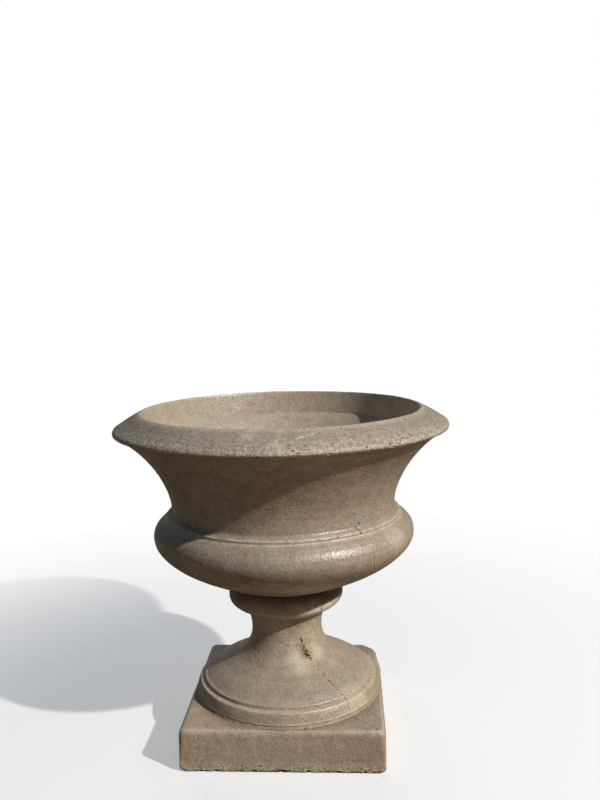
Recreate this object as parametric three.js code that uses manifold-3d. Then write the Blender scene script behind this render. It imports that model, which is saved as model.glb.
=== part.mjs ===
import * as THREE from 'three';
import { RoundedBoxGeometry } from 'three/addons/geometries/RoundedBoxGeometry.js';
import { mergeVertices } from 'three/addons/utils/BufferGeometryUtils.js';
import Module from 'manifold-3d';

const wasm = await Module();
wasm.setup();

// Garden urn of cast stone: a turned bowl on a turned pedestal on a square plinth.
// Millimetres, Z up, the plinth on the ground at Z zero and the axis of the turned pieces on Z.

// Stack of pieces, from the ground up

const plinthSide = 468;
const plinthHeight = 100;
const plinthArrisRadius = 9;
const footBedThickness = 4;
const pedestalHeight = 272;
const padThickness = 3;
const bowlHeight = 421;

// Clearances between neighbours

const sleeveClearance = 0.3;
const dowelClearance = 0.3;
const spigotClearance = 3;
const dowelHeadroom = 3;
const cutOverrun = 5;

// Drain sleeve, a length of plastic pipe that stands on a shoulder inside the plinth

const sleeveRadius = 25;
const sleeveWall = 3;
const sleeveShoulder = 22;
const sleeveBelowFloor = 8;

// Dowels that key the pedestal to the plinth

const dowelRadius = 6;
const dowelInPlinth = 45;
const dowelInPedestal = 42;
const dowelCircle = 150;
const dowelCount = 3;
const dowelChamfer = 1.2;

// Bowl, outside, read from the seat upwards

const seatRadius = 147;
const seatArris = 2.5;
const bellyRadius = 315.5;
const bellyLevel = 122;
const bellySoffitLead = 38;
const bellySoffitRise = 16;
const bellySoffitSwell = 57;
const bellyTopLevel = 165;
const bellyShoulderRise = 28;
const bellyShoulderOut = 7.5;
const bellyShoulderDrop = 5.5;
const filletRadius = 284;
const filletHeight = 6.5;
const filletWeathering = 5.5;
const wallFootRadius = 271.5;
const wallFootCove = 9;
const wallFootLean = 1.5;
const wallTopRadius = 374.5;
const wallTopLevel = 362;
const wallFootPull = 70;
const wallTopPullIn = 39.5;
const wallTopPullDown = 28.5;
const dripDepth = 3;
const rimSoffitRadius = 386;
const rimSoffitLevel = 371.5;
const rimRadius = 400;
const rimTipLevel = 380;
const rimSoffitOut = 10;
const rimSoffitRise = 2;
const rimNoseLower = 4.5;
const rimNoseUpper = 6;
const rimSlopeRadius = 392;
const rimSlopeLevel = 389.5;
const rimSlopeCrown = 2.5;
const lipRadius = 341;
const lipDrop = 1.5;
const mouthRadius = 335;
const mouthArris = 2;

// Bowl, inside, read from the mouth downwards

const innerFlareRadius = 326;
const innerFlareLevel = 362;
const innerWaistRadius = 226;
const innerWaistLevel = 176;
const innerWaistPull = 62;
const innerFlarePullIn = 40;
const innerFlarePullDown = 34;
const innerBellyRadius = 219;
const innerBellyLevel = 100;
const floorThickness = 40;
const floorRadius = 152;
const floorCornerPull = 42;

// Pedestal, read from the foot upwards

const ringBaseRadius = 222.5;
const ringRadius = 226.5;
const ringBaseArris = 4;
const ringSwell = 1.5;
const ringEdgeRadius = 219;
const ringEdgeLevel = 27;
const ringEdgeArris = 2.5;
const ringLedgeRadius = 208;
const ringLedgeLevel = 31;
const bellLipRadius = 207;
const bellLipLevel = 37;
const bellEdgeRadius = 203;
const bellEdgeLevel = 39.5;
const bellLeadIn = 42;
const bellLeadUp = 35;
const neckRadius = 86;
const neckLevel = 152;
const neckPullDown = 72;
const neckPullUp = 26;
const neckTopRadius = 98;
const neckTopLevel = 201;
const neckTopPullIn = 5;
const neckTopPullDown = 12;
const collarUnderRadius = 107;
const collarUnderRise = 2.5;
const collarRadius = 140.5;
const collarLevel = 237;
const collarLowerOut = 19.5;
const collarLowerUp = 11;
const collarLowerPull = 17.5;
const collarUpperPull = 19;
const collarSeatRadius = 121;
const collarUpperOut = 11;

// Bedding between the pieces

const padRadius = 117;
const padBoreRadius = 34;
const footBedRadius = 218;
const footBedBoreRadius = 40;

// Numbers of facets round and along the curves

const roundFacets = 60;
const sleeveFacets = 40;
const dowelFacets = 16;
const longCurveSteps = 8;
const midCurveSteps = 6;
const shortCurveSteps = 4;
const arrisSteps = 3;
const pinSteps = 2;

// Levels that follow from the stack

const footBedLevel = plinthHeight;
const pedestalLevel = footBedLevel + footBedThickness;
const padLevel = pedestalLevel + pedestalHeight;
const bowlLevel = padLevel + padThickness;

const group = new THREE.Group();
group.name = 'garden_urn';

// A profile is a list of points, radius across and height up, laid down one moulding after another.

function startProfile(radius, level) {
  return [new THREE.Vector2(radius, level)];
}

function flat(profile, radius, level) {
  profile.push(new THREE.Vector2(radius, level));
}

function sweep(profile, firstPull, secondPull, end, steps) {
  const start = profile[profile.length - 1];
  const curve = new THREE.CubicBezierCurve(
    start.clone(),
    new THREE.Vector2(firstPull[0], firstPull[1]),
    new THREE.Vector2(secondPull[0], secondPull[1]),
    new THREE.Vector2(end[0], end[1])
  );
  for (const point of curve.getPoints(steps).slice(1)) {
    profile.push(point);
  }
}

function roundOver(profile, corner, end, steps) {
  const start = profile[profile.length - 1];
  const curve = new THREE.QuadraticBezierCurve(
    start.clone(),
    new THREE.Vector2(corner[0], corner[1]),
    new THREE.Vector2(end[0], end[1])
  );
  for (const point of curve.getPoints(steps).slice(1)) {
    profile.push(point);
  }
}

function closeProfile(profile) {
  profile.push(profile[0].clone());
  return profile;
}

function turned(profile, level, facets) {
  const geometry = new THREE.LatheGeometry(profile, facets);
  geometry.rotateX(Math.PI / 2);
  geometry.translate(0, 0, level);
  return geometry;
}

function material(colour, roughness, metalness) {
  return new THREE.MeshStandardMaterial({ color: colour, roughness: roughness, metalness: metalness });
}

function addPiece(name, geometry, surface) {
  const mesh = new THREE.Mesh(geometry, surface);
  mesh.name = name;
  group.add(mesh);
}

// Solids for the drilled and cast holes

function asSolid(geometry) {
  const plain = new THREE.BufferGeometry();
  plain.setAttribute('position', geometry.getAttribute('position').clone());
  if (geometry.index) {
    plain.setIndex(geometry.index.clone());
  }
  const merged = mergeVertices(plain);
  const faces = [];
  const index = merged.index.array;
  for (let i = 0; i < index.length; i += 3) {
    const a = index[i];
    const b = index[i + 1];
    const c = index[i + 2];
    if (a !== b && b !== c && c !== a) {
      faces.push(a, b, c);
    }
  }
  return new wasm.Manifold(new wasm.Mesh({
    numProp: 3,
    vertProperties: new Float32Array(merged.getAttribute('position').array),
    triVerts: new Uint32Array(faces)
  }));
}

function asGeometry(solid) {
  const mesh = solid.getMesh();
  const geometry = new THREE.BufferGeometry();
  geometry.setAttribute('position', new THREE.BufferAttribute(new Float32Array(mesh.vertProperties), mesh.numProp));
  geometry.setIndex(new THREE.BufferAttribute(new Uint32Array(mesh.triVerts), 1));
  geometry.computeVertexNormals();
  return geometry;
}

function rod(radius, fromLevel, toLevel, facets, x, y) {
  const length = toLevel - fromLevel;
  const geometry = new THREE.CylinderGeometry(radius, radius, length, facets);
  geometry.rotateX(Math.PI / 2);
  geometry.translate(x, y, fromLevel + length / 2);
  return geometry;
}

const dowelSpots = [];
for (let i = 0; i < dowelCount; i += 1) {
  const angle = Math.PI / 2 + (i * 2 * Math.PI) / dowelCount;
  dowelSpots.push([dowelCircle * Math.cos(angle), dowelCircle * Math.sin(angle)]);
}

// Bowl: moulded rim, hollow wall, fillet, rounded belly and a flat seat with a drain hole

const drainHoleRadius = sleeveRadius + spigotClearance;
const bowl = startProfile(drainHoleRadius, 0);
flat(bowl, seatRadius - seatArris, 0);
roundOver(bowl, [seatRadius, 0], [seatRadius + seatArris, seatArris / 2], pinSteps);
sweep(
  bowl,
  [seatRadius + bellySoffitLead, bellySoffitRise],
  [bellyRadius, bellyLevel - bellySoffitSwell],
  [bellyRadius, bellyLevel],
  longCurveSteps
);
sweep(
  bowl,
  [bellyRadius, bellyLevel + bellyShoulderRise],
  [filletRadius + bellyShoulderOut, bellyTopLevel - bellyShoulderDrop],
  [filletRadius, bellyTopLevel],
  midCurveSteps
);
flat(bowl, filletRadius, bellyTopLevel + filletHeight);
const filletTopLevel = bellyTopLevel + filletHeight + filletWeathering;
flat(bowl, wallFootRadius + wallFootLean, filletTopLevel);
roundOver(bowl, [wallFootRadius, filletTopLevel], [wallFootRadius - wallFootLean, filletTopLevel + wallFootCove], pinSteps);
sweep(
  bowl,
  [wallFootRadius - wallFootLean, filletTopLevel + wallFootCove + wallFootPull],
  [wallTopRadius - wallTopPullIn, wallTopLevel - wallTopPullDown],
  [wallTopRadius, wallTopLevel],
  longCurveSteps
);
flat(bowl, rimSoffitRadius - dripDepth, rimSoffitLevel);
flat(bowl, rimSoffitRadius, rimSoffitLevel);
sweep(
  bowl,
  [rimSoffitRadius + rimSoffitOut, rimSoffitLevel + rimSoffitRise],
  [rimRadius, rimTipLevel - rimNoseLower],
  [rimRadius, rimTipLevel],
  shortCurveSteps
);
roundOver(bowl, [rimRadius, rimTipLevel + rimNoseUpper], [rimSlopeRadius, rimSlopeLevel], arrisSteps);
const lipLevel = bowlHeight - lipDrop;
roundOver(
  bowl,
  [(rimSlopeRadius + lipRadius) / 2, (rimSlopeLevel + lipLevel) / 2 + rimSlopeCrown],
  [lipRadius, lipLevel],
  midCurveSteps
);
flat(bowl, mouthRadius, bowlHeight);
roundOver(bowl, [mouthRadius - mouthArris, bowlHeight], [mouthRadius - mouthArris, bowlHeight - mouthArris], pinSteps);
flat(bowl, innerFlareRadius, innerFlareLevel);
sweep(
  bowl,
  [innerFlareRadius - innerFlarePullIn, innerFlareLevel - innerFlarePullDown],
  [innerWaistRadius, innerWaistLevel + innerWaistPull],
  [innerWaistRadius, innerWaistLevel],
  midCurveSteps
);
flat(bowl, innerBellyRadius, innerBellyLevel);
roundOver(bowl, [innerBellyRadius - floorCornerPull / 2, floorThickness], [floorRadius, floorThickness], midCurveSteps);
flat(bowl, drainHoleRadius, floorThickness);
addPiece('bowl', turned(closeProfile(bowl), bowlLevel, roundFacets), material('#9a8b77', 0.86, 0));

// Setting pad: a flat rubber ring between the collar of the pedestal and the seat of the bowl

const pad = startProfile(padBoreRadius, 0);
flat(pad, padRadius, 0);
flat(pad, padRadius, padThickness);
flat(pad, padBoreRadius, padThickness);
addPiece('bowl_setting_pad', turned(closeProfile(pad), padLevel, roundFacets), material('#2b2a28', 0.8, 0));

// Drain sleeve: one pipe through plinth, pedestal and pad, its top end the spigot the bowl drops over

const sleeveTop = bowlLevel + floorThickness - sleeveBelowFloor;
const sleeve = startProfile(sleeveRadius - sleeveWall, 0);
flat(sleeve, sleeveRadius, 0);
flat(sleeve, sleeveRadius, sleeveTop - sleeveShoulder);
flat(sleeve, sleeveRadius - sleeveWall, sleeveTop - sleeveShoulder);
addPiece('drain_sleeve', turned(closeProfile(sleeve), sleeveShoulder, sleeveFacets), material('#8d8f90', 0.45, 0));

// Pedestal: ring and ledge of the foot, the bell with its lip, the neck, and the collar that carries the bowl

const boreRadius = sleeveRadius + sleeveClearance;
const pedestal = startProfile(boreRadius, 0);
flat(pedestal, ringBaseRadius, 0);
roundOver(pedestal, [ringRadius, 0], [ringRadius, ringBaseArris], pinSteps);
roundOver(
  pedestal,
  [(ringRadius + ringEdgeRadius) / 2 + ringSwell, (ringBaseArris + ringEdgeLevel) / 2],
  [ringEdgeRadius, ringEdgeLevel],
  pinSteps
);
flat(pedestal, ringEdgeRadius - ringEdgeArris, ringEdgeLevel + ringEdgeArris);
flat(pedestal, ringLedgeRadius, ringLedgeLevel);
flat(pedestal, bellLipRadius, bellLipLevel);
roundOver(pedestal, [bellLipRadius, bellEdgeLevel], [bellEdgeRadius, bellEdgeLevel], pinSteps);
sweep(
  pedestal,
  [bellEdgeRadius - bellLeadIn, bellEdgeLevel + bellLeadUp],
  [neckRadius, neckLevel - neckPullDown],
  [neckRadius, neckLevel],
  longCurveSteps
);
sweep(
  pedestal,
  [neckRadius, neckLevel + neckPullUp],
  [neckTopRadius - neckTopPullIn, neckTopLevel - neckTopPullDown],
  [neckTopRadius, neckTopLevel],
  midCurveSteps
);
flat(pedestal, collarUnderRadius, neckTopLevel + collarUnderRise);
sweep(
  pedestal,
  [collarUnderRadius + collarLowerOut, neckTopLevel + collarUnderRise + collarLowerUp],
  [collarRadius, collarLevel - collarLowerPull],
  [collarRadius, collarLevel],
  midCurveSteps
);
sweep(
  pedestal,
  [collarRadius, collarLevel + collarUpperPull],
  [collarSeatRadius + collarUpperOut, pedestalHeight],
  [collarSeatRadius, pedestalHeight],
  shortCurveSteps
);
flat(pedestal, boreRadius, pedestalHeight);
let pedestalSolid = asSolid(turned(closeProfile(pedestal), pedestalLevel, roundFacets));
const dowelTop = pedestalLevel + dowelInPedestal;
const dowelBottom = plinthHeight - dowelInPlinth;
for (const [x, y] of dowelSpots) {
  const hole = rod(
    dowelRadius + dowelClearance,
    pedestalLevel - cutOverrun,
    dowelTop + dowelHeadroom,
    dowelFacets,
    x,
    y
  );
  pedestalSolid = pedestalSolid.subtract(asSolid(hole));
}
addPiece('pedestal', asGeometry(pedestalSolid), material('#96846c', 0.88, 0));

// Mortar bed under the foot ring, left open round the drain and the dowels

const bed = startProfile(footBedBoreRadius, 0);
flat(bed, footBedRadius, 0);
flat(bed, footBedRadius, footBedThickness);
flat(bed, footBedBoreRadius, footBedThickness);
let bedSolid = asSolid(turned(closeProfile(bed), footBedLevel, roundFacets));
for (const [x, y] of dowelSpots) {
  bedSolid = bedSolid.subtract(asSolid(
    rod(dowelRadius + dowelClearance, footBedLevel - cutOverrun, pedestalLevel + cutOverrun, dowelFacets, x, y)
  ));
}
addPiece('foot_mortar_bed', asGeometry(bedSolid), material('#a39a8b', 0.95, 0));

// Steel dowels between plinth and pedestal, their ends chamfered

dowelSpots.forEach(([x, y], i) => {
  const length = dowelTop - dowelBottom;
  const pin = startProfile(0, 0);
  flat(pin, dowelRadius - dowelChamfer, 0);
  flat(pin, dowelRadius, dowelChamfer);
  flat(pin, dowelRadius, length - dowelChamfer);
  flat(pin, dowelRadius - dowelChamfer, length);
  flat(pin, 0, length);
  const geometry = turned(pin, dowelBottom, dowelFacets);
  geometry.translate(x, y, 0);
  addPiece('foot_dowel_' + (i + 1), geometry, material('#a7a9ab', 0.35, 0.9));
});

// Plinth: square slab with worn arrises, a stepped drain hole and three dowel sockets

const slab = new RoundedBoxGeometry(plinthSide, plinthSide, plinthHeight, pinSteps, plinthArrisRadius);
slab.translate(0, 0, plinthHeight / 2);
let plinthSolid = asSolid(slab);
const weepRadius = sleeveRadius - sleeveWall;
plinthSolid = plinthSolid.subtract(asSolid(
  rod(weepRadius, -cutOverrun, sleeveShoulder + cutOverrun, sleeveFacets, 0, 0)
));
plinthSolid = plinthSolid.subtract(asSolid(
  rod(boreRadius, sleeveShoulder, plinthHeight + cutOverrun, sleeveFacets, 0, 0)
));
for (const [x, y] of dowelSpots) {
  plinthSolid = plinthSolid.subtract(asSolid(
    rod(dowelRadius + dowelClearance, dowelBottom, plinthHeight + cutOverrun, dowelFacets, x, y)
  ));
}
addPiece('plinth', asGeometry(plinthSolid), material('#8a7862', 0.9, 0));

export default group;
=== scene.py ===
import bpy
import math
import random
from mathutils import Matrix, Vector, noise


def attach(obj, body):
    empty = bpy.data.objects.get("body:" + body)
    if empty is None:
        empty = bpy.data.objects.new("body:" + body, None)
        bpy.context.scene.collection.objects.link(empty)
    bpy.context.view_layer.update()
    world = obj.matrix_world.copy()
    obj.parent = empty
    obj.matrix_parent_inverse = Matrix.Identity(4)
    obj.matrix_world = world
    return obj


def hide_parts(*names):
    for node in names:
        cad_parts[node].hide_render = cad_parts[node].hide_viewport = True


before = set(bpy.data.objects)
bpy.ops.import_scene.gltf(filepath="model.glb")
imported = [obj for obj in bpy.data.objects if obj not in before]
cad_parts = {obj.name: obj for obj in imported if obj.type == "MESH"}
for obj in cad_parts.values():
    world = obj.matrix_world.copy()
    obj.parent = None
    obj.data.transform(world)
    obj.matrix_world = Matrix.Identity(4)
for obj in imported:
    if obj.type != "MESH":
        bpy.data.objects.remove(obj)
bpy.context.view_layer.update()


# ------------------------------------------------------------------------------------------------ Bowl
# One casting of sand and cement with a sloping rim, a flared wall and a fat round belly, rammed into a mould of two
# halves whose joint still wanders down both sides. It stands dry on the rubber pad, held there by its own weight.

bowl_level = 0.379
bowl_cuts = 430

# The section in millimetres from the axis and above the foot, one line a moulding: rows of faces, then the points.
# Two points are a straight run, and four are a bend from the first to the last.
bowl_outside = [
    (10, (28, 0), (144.5, 0)),
    (2, (144.5, 0), (146.2, 0), (148.7, 0.4), (149.5, 1.3)),
    (30, (149.5, 1.3), (185, 16), (315.5, 65), (315.5, 122)),
    (13, (315.5, 122), (315.5, 150), (292, 159), (285, 164.2)),
    (2, (285, 164.2), (284.2, 164.8), (283.8, 165.2), (283.8, 166.4)),
    (2, (283.8, 166.4), (283.8, 170)),
    (2, (283.8, 170), (283.8, 171.4), (283.2, 172.2), (282, 172.8)),
    (3, (282, 172.8), (274, 176.4)),
    (3, (274, 176.4), (271.8, 177.2), (270.3, 178.8), (270, 183)),
    (34, (270, 183), (270, 256), (335, 333.5), (374.5, 362)),
    (2, (374.5, 362), (383, 371)),
    (2, (383, 371), (384, 372), (385, 371.4), (386.5, 371.6)),
    (8, (386.5, 371.6), (396.5, 373), (400, 374.6), (400, 379.5)),
    (4, (400, 379.5), (400, 383.6), (397.4, 387), (392, 389.5)),
    (12, (392, 389.5), (375, 401.2), (358, 411.2), (341, 419.5)),
]
bowl_inside = [
    (2, (341, 419.5), (339, 420.3), (337, 421), (335.6, 421)),
    (2, (335.6, 421), (334, 421), (333, 420), (332.8, 418)),
    (10, (332.8, 418), (326, 362)),
    (26, (326, 362), (286, 328), (226, 238), (226, 176)),
    (10, (226, 176), (219, 100)),
    (14, (219, 100), (205, 60), (182.7, 40), (152, 40)),
    (12, (152, 40), (30, 40)),
    (2, (30, 40), (29, 40), (28, 39.5), (28, 38)),
    (5, (28, 38), (28, 0)),
]


# Points that lie closer together than this are one, in metres.
weld = 0.00002


def draw_section(name, section, level):
    """Draws a section as curves in the plane of the X axis and turns it into one line of edges."""
    bpy.ops.object.select_all(action="DESELECT")
    bpy.ops.curve.primitive_bezier_curve_add(location=(0, 0, 0))
    template = bpy.context.object
    template.name = name
    template.data.splines.clear()
    for rows, *run in section:
        points = [Vector((across / 1000, 0, level + up / 1000)) for across, up in run]
        if len(points) == 2:
            points = [points[0].lerp(points[1], part / 3) for part in range(4)]
        line = template.data.splines.new("BEZIER")
        line.bezier_points.add(1)
        line.resolution_u = rows
        first, last = line.bezier_points
        for end in (first, last):
            end.handle_left_type = "FREE"
            end.handle_right_type = "FREE"
        first.co, first.handle_right, last.handle_left, last.co = points
        first.handle_left, last.handle_right = first.co, last.co
    bpy.ops.object.convert(target="MESH")
    bpy.ops.object.mode_set(mode="EDIT")
    bpy.ops.mesh.select_all(action="SELECT")
    bpy.ops.mesh.remove_doubles(threshold=weld)
    bpy.ops.object.mode_set(mode="OBJECT")
    return template


def turn(piece, cuts):
    """Spins a drawn section once round the axis and closes the skin where it meets itself."""
    bpy.ops.object.mode_set(mode="EDIT")
    bpy.ops.mesh.select_all(action="SELECT")
    bpy.ops.mesh.spin(steps=cuts, angle=math.tau, use_auto_merge=True, center=(0, 0, 0), axis=(0, 0, 1))
    bpy.ops.mesh.select_all(action="SELECT")
    bpy.ops.mesh.remove_doubles(threshold=weld)
    bpy.ops.mesh.normals_make_consistent(inside=False)
    bpy.ops.object.mode_set(mode="OBJECT")


def finish_with(piece, kind, **settings):
    """Adds one modifier to a piece and applies it."""
    bpy.ops.object.select_all(action="DESELECT")
    piece.select_set(True)
    bpy.context.view_layer.objects.active = piece
    bpy.ops.object.modifier_add(type=kind)
    modifier = piece.modifiers[-1]
    for setting, value in settings.items():
        setattr(modifier, setting, value)
    bpy.ops.object.modifier_apply(modifier=modifier.name)


def roughen(piece, *layers):
    """Moves the skin in and out as the sand took up the mould. A layer is the size of its waves and their height, in
    metres."""
    for width, height in layers:
        waves = bpy.data.textures.new(piece.name + "_waves", "CLOUDS")
        waves.noise_scale = width
        waves.noise_depth = 2
        finish_with(piece, "DISPLACE", texture=waves, texture_coords="LOCAL", strength=height, mid_level=0.5)


def spot(azimuth, across, up):
    """A place on a turned piece, from degrees round it and millimetres out from the axis and up from the ground."""
    turned = math.radians(azimuth)
    return Vector((across * math.cos(turned), across * math.sin(turned), up)) / 1000


def pebble(place, facing, long, wide, deep, finish):
    """A rough lump in the shape of what broke out of a face: its length along the face, its width up the face and
    half its depth into it, in millimetres. Facing is the way the face looks, in degrees round the axis."""
    bpy.ops.object.select_all(action="DESELECT")
    bpy.ops.mesh.primitive_ico_sphere_add(subdivisions=2, radius=0.001, location=(0, 0, 0))
    lump = bpy.context.object
    bpy.ops.object.mode_set(mode="EDIT")
    bpy.ops.mesh.select_all(action="SELECT")
    bpy.ops.transform.resize(value=(deep, long / 2, wide / 2))
    bpy.ops.object.mode_set(mode="OBJECT")
    for corner in lump.data.vertices:
        corner.co *= 1 + 0.35 * noise.noise(corner.co.normalized() * 1.7 + place * 211)
    lump.rotation_euler = (math.radians(40 * noise.noise(place * 97)), 0, math.radians(facing))
    lump.location = place
    bpy.ops.object.transform_apply(location=True, rotation=True, scale=True)
    lump.data.materials.append(finish)
    return lump


def open_joint(outline, level, course, parts):
    """Channels where the mould joint has opened. They follow the outline and lean the way the joint wanders, which
    the course gives as levels and azimuths. A part is its foot and top in millimetres, how wide it gapes, and what
    has settled in it."""
    guide = draw_section("joint_guide", outline, level)
    edge = [corner.co.copy() for corner in guide.data.vertices]
    bpy.data.objects.remove(guide)
    cracks = []
    for low, high, width, finish in parts:
        run = [corner for corner in edge if low / 1000 <= corner.z <= high / 1000]
        bpy.ops.object.select_all(action="DESELECT")
        bpy.ops.curve.primitive_nurbs_path_add(location=(0, 0, 0))
        crack = bpy.context.object
        crack.data.splines.clear()
        line = crack.data.splines.new("POLY")
        line.points.add(len(run) - 1)
        for number, (point, corner) in enumerate(zip(line.points, run)):
            up = corner.z * 1000
            below = max(entry for entry in course if entry[0] <= up)
            above = min(entry for entry in course if entry[0] >= up)
            share = (up - below[0]) / max(above[0] - below[0], 0.001)
            azimuth = below[1] + (above[1] - below[1]) * share
            azimuth += 0.5 * noise.noise(Vector((up / 9, corner.x * 110, 0)))
            point.co = (*spot(azimuth, corner.x * 1000, up), 1)
            from_end = min(number, len(run) - 1 - number)
            taper = min(1, 0.35 + from_end / 2)
            point.radius = (0.75 + 0.5 * noise.noise(Vector((up / 4, 7, azimuth)))) * taper
        crack.data.bevel_depth = width / 2000
        crack.data.bevel_resolution = 2
        crack.data.use_fill_caps = True
        bpy.ops.object.convert(target="MESH")
        bpy.ops.object.mode_set(mode="EDIT")
        bpy.ops.mesh.select_all(action="SELECT")
        bpy.ops.mesh.remove_doubles(threshold=weld / 2)
        bpy.ops.mesh.normals_make_consistent(inside=False)
        bpy.ops.object.mode_set(mode="OBJECT")
        crack.data.materials.clear()
        crack.data.materials.append(finish)
        cracks.append(crack)
    return cracks


def drill(finish, radius, low, high, *places):
    """Round bits, one for each place, that bore straight down through a piece. Lengths are in millimetres."""
    bits = []
    for x, y in places:
        bpy.ops.object.select_all(action="DESELECT")
        bpy.ops.mesh.primitive_cylinder_add(vertices=48, radius=radius / 1000, depth=(high - low) / 1000,
                                            location=(x / 1000, y / 1000, (low + high) / 2000))
        bpy.ops.object.transform_apply(location=True, rotation=True, scale=True)
        bits.append(bpy.context.object)
        bits[-1].data.materials.append(finish)
    return bits


def break_out(piece, lumps):
    """Takes the lumps out of a piece together. The broken faces keep the lumps' own finish."""
    taken = bpy.data.collections.new("taken_out")
    for lump in lumps:
        taken.objects.link(lump)
    finish_with(piece, "BOOLEAN", operand_type="COLLECTION", collection=taken, operation="DIFFERENCE",
                solver="MANIFOLD", material_mode="TRANSFER")
    for lump in lumps:
        bpy.data.objects.remove(lump)
    bpy.data.collections.remove(taken)


def paint(code):
    """A colour written as six hexadecimal digits, in the linear values that a shader takes."""
    parts = [int(code[start:start + 2], 16) / 255 for start in (0, 2, 4)]
    return (*[part / 12.92 if part <= 0.04045 else ((part + 0.055) / 1.055) ** 2.4 for part in parts], 1)


def cast_stone(name, body, bloom, blush, soil_and_shade, rubbed_pale_and_highlight, sweep=0.0, darkened_band=None, pitted=None, arris_wear_and_highlight=None, washed=None,
               stains_and_painted_light=(), shine=0.75):
    """Weathered sand and cement: cloudy tone, grey bloom and pink blush in patches, soil in runs, hollows and creases
    darkened by soil and by painted shade, faces that look down painted browner as soil splash and painted shade,
    arrises rubbed pale and painted with highlight lines, sand grains and pin holes, and the low shine of a face that
    has been handled for years. Sweep is how strongly the marks of the template show, and shine how strongly the face
    glints. In metres, the darkened band is the level at which the face is darkest and the level at which the
    darkening ends. Washed is the same out from the axis, for the soil that rain leaves on a flat top, and then the
    level of that top, whose arris is painted pale as wear and highlight. Pitted and the arris wear are levels, each
    with how rough the face has weathered there, or how far an edge there is painted pale as wear and highlight.
    Stains are the middle of a patch, its reach and its colour; some of them are painted pools of light rather than
    stains."""
    stone = bpy.data.materials.new(name)
    stone.use_nodes = True
    nodes = stone.node_tree.nodes
    link = stone.node_tree.links.new
    shader = nodes["Principled BSDF"]
    shader.inputs["Specular IOR Level"].default_value = shine
    place = nodes.new("ShaderNodeTexCoord").outputs["Object"]

    def stretched(x, y, z):
        mapping = nodes.new("ShaderNodeMapping")
        mapping.inputs["Scale"].default_value = (x, y, z)
        link(place, mapping.inputs["Vector"])
        return mapping.outputs["Vector"]

    def clouds(scale, detail, roughness=0.55, vector=None):
        texture = nodes.new("ShaderNodeTexNoise")
        texture.inputs["Scale"].default_value = scale
        texture.inputs["Detail"].default_value = detail
        texture.inputs["Roughness"].default_value = roughness
        link(vector or place, texture.inputs["Vector"])
        return texture.outputs["Fac"]

    def between(value, low, high, bottom=0.0, top=1.0):
        limits = nodes.new("ShaderNodeMapRange")
        limits.inputs["From Min"].default_value = low
        limits.inputs["From Max"].default_value = high
        limits.inputs["To Min"].default_value = bottom
        limits.inputs["To Max"].default_value = top
        link(value, limits.inputs["Value"])
        return limits.outputs["Result"]

    def sums(kind, first, second):
        step = nodes.new("ShaderNodeMath")
        step.operation = kind
        for socket, value in zip(step.inputs, (first, second)):
            if isinstance(value, (int, float)):
                socket.default_value = value
            else:
                link(value, socket)
        return step.outputs["Value"]

    def blend(amount, under, over, kind="MIX"):
        mixer = nodes.new("ShaderNodeMix")
        mixer.data_type = "RGBA"
        mixer.blend_type = kind
        link(amount, mixer.inputs["Factor"])
        for socket, colour in ((mixer.inputs["A"], under), (mixer.inputs["B"], over)):
            if isinstance(colour, str):
                socket.default_value = paint(colour)
            else:
                link(colour, socket)
        return mixer.outputs["Result"]

    surface = nodes.new("ShaderNodeNewGeometry")
    facing = nodes.new("ShaderNodeSeparateXYZ")
    link(surface.outputs["Normal"], facing.inputs["Vector"])
    hollow = nodes.new("ShaderNodeAmbientOcclusion")
    hollow.samples = 6
    hollow.inputs["Distance"].default_value = 0.04
    corner = nodes.new("ShaderNodeAmbientOcclusion")
    corner.samples = 4
    corner.inputs["Distance"].default_value = 0.006

    mottle = clouds(38, 8, 0.66)
    colour = blend(between(clouds(3.1, 4, 0.6), 0.38, 0.62, 0, 0.75), body, bloom)
    colour = blend(between(clouds(5.2, 5, 0.6, stretched(1, 1, 1.3)), 0.47, 0.66, 0, 0.65), colour, blush)
    colour = blend(between(mottle, 0.48, 0.72, 0, 0.3), colour, soil_and_shade)
    colour = blend(between(mottle, 0.5, 0.3, 0, 0.25), colour, rubbed_pale_and_highlight)
    runs = clouds(7, 6, 0.6, stretched(4, 4, 0.35))
    colour = blend(between(runs, 0.55, 0.75, 0, 0.2), colour, soil_and_shade)
    # Faces that look down are painted browner and darker, as soil splash and as painted shade.
    under = sums("MULTIPLY", between(facing.outputs["Z"], -0.05, -0.75, 0, 0.5), between(mottle, 0.36, 0.6, 0.3, 1))
    colour = blend(under, colour, "7A5C36")
    # Hollows are darkened by ambient occlusion: soil, and painted shade where less light reaches.
    hollow_soil_and_shade = sums("MULTIPLY", between(hollow.outputs["AO"], 0.85, 0.35, 0, 0.6), between(mottle, 0.3, 0.6, 0.5, 1))
    colour = blend(hollow_soil_and_shade, colour, soil_and_shade)
    # Tight creases and corners are darkened the same way: crumbs, and painted shade.
    crease_crumbs_and_shade = sums("MULTIPLY", between(corner.outputs["AO"], 0.75, 0.3, 0, 0.75),
                  between(clouds(60, 4), 0.35, 0.6, 0.25, 1))
    colour = blend(crease_crumbs_and_shade, colour, soil_and_shade)
    edge = between(surface.outputs["Pointiness"], 0.512, 0.56)
    colour = blend(sums("MULTIPLY", edge, between(clouds(48, 5), 0.42, 0.58, 0.1, 0.7)), colour, rubbed_pale_and_highlight)

    level = nodes.new("ShaderNodeSeparateXYZ")
    link(place, level.inputs["Vector"])

    def by_level(stops):
        course = nodes.new("ShaderNodeValToRGB")
        while len(course.color_ramp.elements) < len(stops):
            course.color_ramp.elements.new(0.5)
        for element, (height, amount) in zip(course.color_ramp.elements, stops):
            element.position = height
            element.color = (amount, amount, amount, 1)
        link(level.outputs["Z"], course.inputs["Fac"])
        return course.outputs["Color"]

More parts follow.
